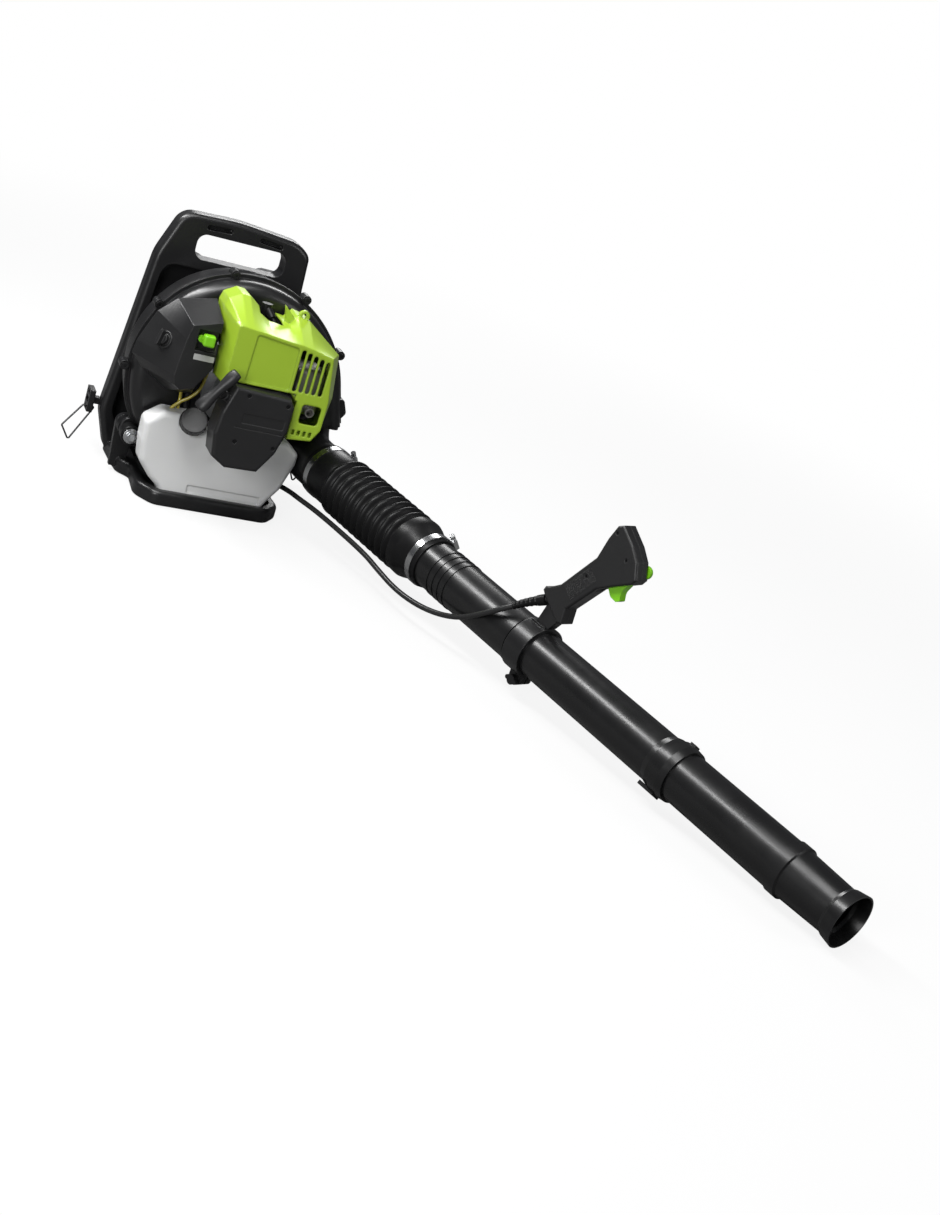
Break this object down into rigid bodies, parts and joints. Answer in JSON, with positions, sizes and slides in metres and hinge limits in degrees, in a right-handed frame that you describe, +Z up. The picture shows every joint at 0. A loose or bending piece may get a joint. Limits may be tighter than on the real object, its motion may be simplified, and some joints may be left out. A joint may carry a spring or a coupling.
{
  "type": "backpack leaf blower",
  "caption": "Backpack engine leaf blower: carrying frame with harness, finned two-stroke engine and fan housing, jointed blower tube with bellows, control handle and flared nozzle",
  "frame": {"origin": "centre of the flat underside of the base", "axes": "+Z up; the engine faces -Y and the wearer's back is at +Y; the blower tube leaves on the +X side and points towards -Y and a little +X"},
  "size_m": [0.8681, 1.5043, 0.4615],
  "materials": {
    "black_plastic": "moulded, fine grain",
    "dark_plastic": "moulded, satin",
    "green_plastic": "moulded, semi-gloss",
    "tank_plastic": "natural, slightly translucent",
    "clear_line": "flexible, semi-clear",
    "rubber": "matt",
    "cable_sheath": "matt sheath",
    "cord": "braided",
    "pad_fabric": "padded mesh",
    "strap_webbing": "padded webbing",
    "filter_paper": "pleated felt",
    "zinc_steel": "zinc plated",
    "bright_steel": "ground",
    "muffler_steel": "heat-dulled",
    "cast_aluminium": "die cast"
  },
  "bodies": {
    "chassis": {"frame": "black_plastic", "back_pad": "pad_fabric", "shoulder_straps": "strap_webbing", "strap_buckles": "black_plastic", "isolator_mounts": "rubber", "volute_rear": "black_plastic", "volute_front": "black_plastic", "inlet_guard": "black_plastic", "outlet_elbow": "black_plastic", "crankcase": "cast_aluminium", "main_bearings": "bright_steel", "cylinder": "cast_aluminium", "piston": "cast_aluminium", "connecting_rod": "bright_steel", "spark_plug": "bright_steel", "plug_boot": "rubber", "ignition_coil": "dark_plastic", "plug_lead": "rubber", "intake_insulator": "dark_plastic", "carburettor": "cast_aluminium", "air_filter_base": "dark_plastic", "air_filter": "filter_paper", "air_filter_cover": "dark_plastic", "muffler": "muffler_steel", "engine_cover": "green_plastic", "starter_housing": "dark_plastic", "recoil_spring": "bright_steel", "fuel_tank": "tank_plastic", "fuel_lines": "clear_line", "elbow_clamp": "zinc_steel", "bellows_rear": "rubber", "throttle_cable_rear": "cable_sheath", "case_screws": "zinc_steel"},
    "crank": {"crankshaft": "bright_steel", "flywheel": "cast_aluminium", "impeller": "dark_plastic"},
    "rope_pulley": {"starter_pulley": "dark_plastic"},
    "rope_grip": {"starter_grip": "dark_plastic", "starter_rope": "cord"},
    "throttle_shaft": {"throttle_arm": "bright_steel"},
    "choke": {"choke_lever": "green_plastic"},
    "filter_knob": {"cover_knob": "dark_plastic"},
    "tank_cap": {"fuel_cap": "dark_plastic"},
    "wire_rings": {"strap_rings": "zinc_steel"},
    "hose_middle": {"bellows_middle": "rubber"},
    "blower_tube": {"bellows_front": "rubber", "tube_clamp": "zinc_steel", "tube_rear": "black_plastic", "tube_middle": "black_plastic", "tube_front": "black_plastic", "nozzle": "black_plastic", "handle_clamp": "black_plastic", "clamp_bolt": "zinc_steel", "handle_left": "dark_plastic", "handle_right": "dark_plastic", "handle_screws": "zinc_steel", "trigger_spring": "bright_steel", "throttle_cable_front": "cable_sheath"},
    "throttle_trigger": {"trigger": "green_plastic"},
    "stop_switch": {"stop_button": "green_plastic"}
  },
  "joints": [
    {"name": "engine_spin", "type": "hinge", "parent": "chassis", "child": "crank", "pos_m": [0.01, -0.1, 0.204], "axis": [0, -1, 0], "continuous": true},
    {"name": "starter_pull", "type": "slide", "parent": "chassis", "child": "rope_grip", "axis": [-0.7496, -0.5197, 0.4098], "range_m": [0, 0.7], "stiffness_N_per_m": 8, "springref_m": -0.4, "deforming": ["starter_rope"]},
    {"name": "pulley_spin", "type": "hinge", "parent": "chassis", "child": "rope_pulley", "pos_m": [0.01, -0.184, 0.204], "axis": [0, -1, 0], "range_deg": [0, 2100]},
    {"name": "throttle_shaft_turn", "type": "hinge", "parent": "chassis", "child": "throttle_shaft", "pos_m": [-0.066, -0.11, 0.282], "axis": [0, 0, 1], "range_deg": [-60, 0]},
    {"name": "choke_turn", "type": "hinge", "parent": "chassis", "child": "choke", "pos_m": [-0.094, -0.14, 0.306], "axis": [0, 1, 0], "range_deg": [0, 22]},
    {"name": "filter_knob_turn", "type": "hinge", "parent": "chassis", "child": "filter_knob", "pos_m": [-0.14591, -0.11553, 0.28394], "axis": [-0.7621, -0.5741, 0.2994], "continuous": true},
    {"name": "tank_cap_turn", "type": "hinge", "parent": "chassis", "child": "tank_cap", "pos_m": [-0.0624, -0.11, 0.1502], "axis": [-0.1504, -0.752, 0.6417], "continuous": true},
    {"name": "wire_ring_swing", "type": "hinge", "parent": "chassis", "child": "wire_rings", "pos_m": [0, 0.118, 0.0695], "axis": [1, 0, 0], "range_deg": [-35, 35]},
    {"name": "nozzle_sweep", "type": "hinge", "parent": "chassis", "child": "hose_middle", "pos_m": [0.23993, -0.27229, 0.10531], "axis": [0, 0, 1], "range_deg": [-25, 25], "deforming": ["bellows_rear", "throttle_cable_rear"]},
    {"name": "nozzle_pitch", "type": "hinge", "parent": "hose_middle", "child": "blower_tube", "pos_m": [0.23993, -0.27229, 0.10531], "axis": [-0.9444, -0.3289, 0], "range_deg": [-20, 30], "deforming": ["bellows_front", "throttle_cable_front"]},
    {"name": "trigger_squeeze", "type": "hinge", "parent": "blower_tube", "child": "throttle_trigger", "pos_m": [0.41953, -0.78802, 0.26945], "axis": [-0.9444, -0.3289, 0], "range_deg": [-16, 0], "stiffness_Nm_per_rad": 0.12, "springref_deg": 34.38},
    {"name": "stop_press", "type": "slide", "parent": "blower_tube", "child": "stop_switch", "axis": [-0.9444, -0.3289, 0], "range_m": [0, 0.004], "stiffness_N_per_m": 300, "springref_m": -0.003}
  ],
  "couplings": [
    {"joint": "pulley_spin", "follows": "starter_pull", "rad_per_m": 50},
    {"joint": "throttle_shaft_turn", "follows": "trigger_squeeze", "ratio": 3.75}
  ]
}
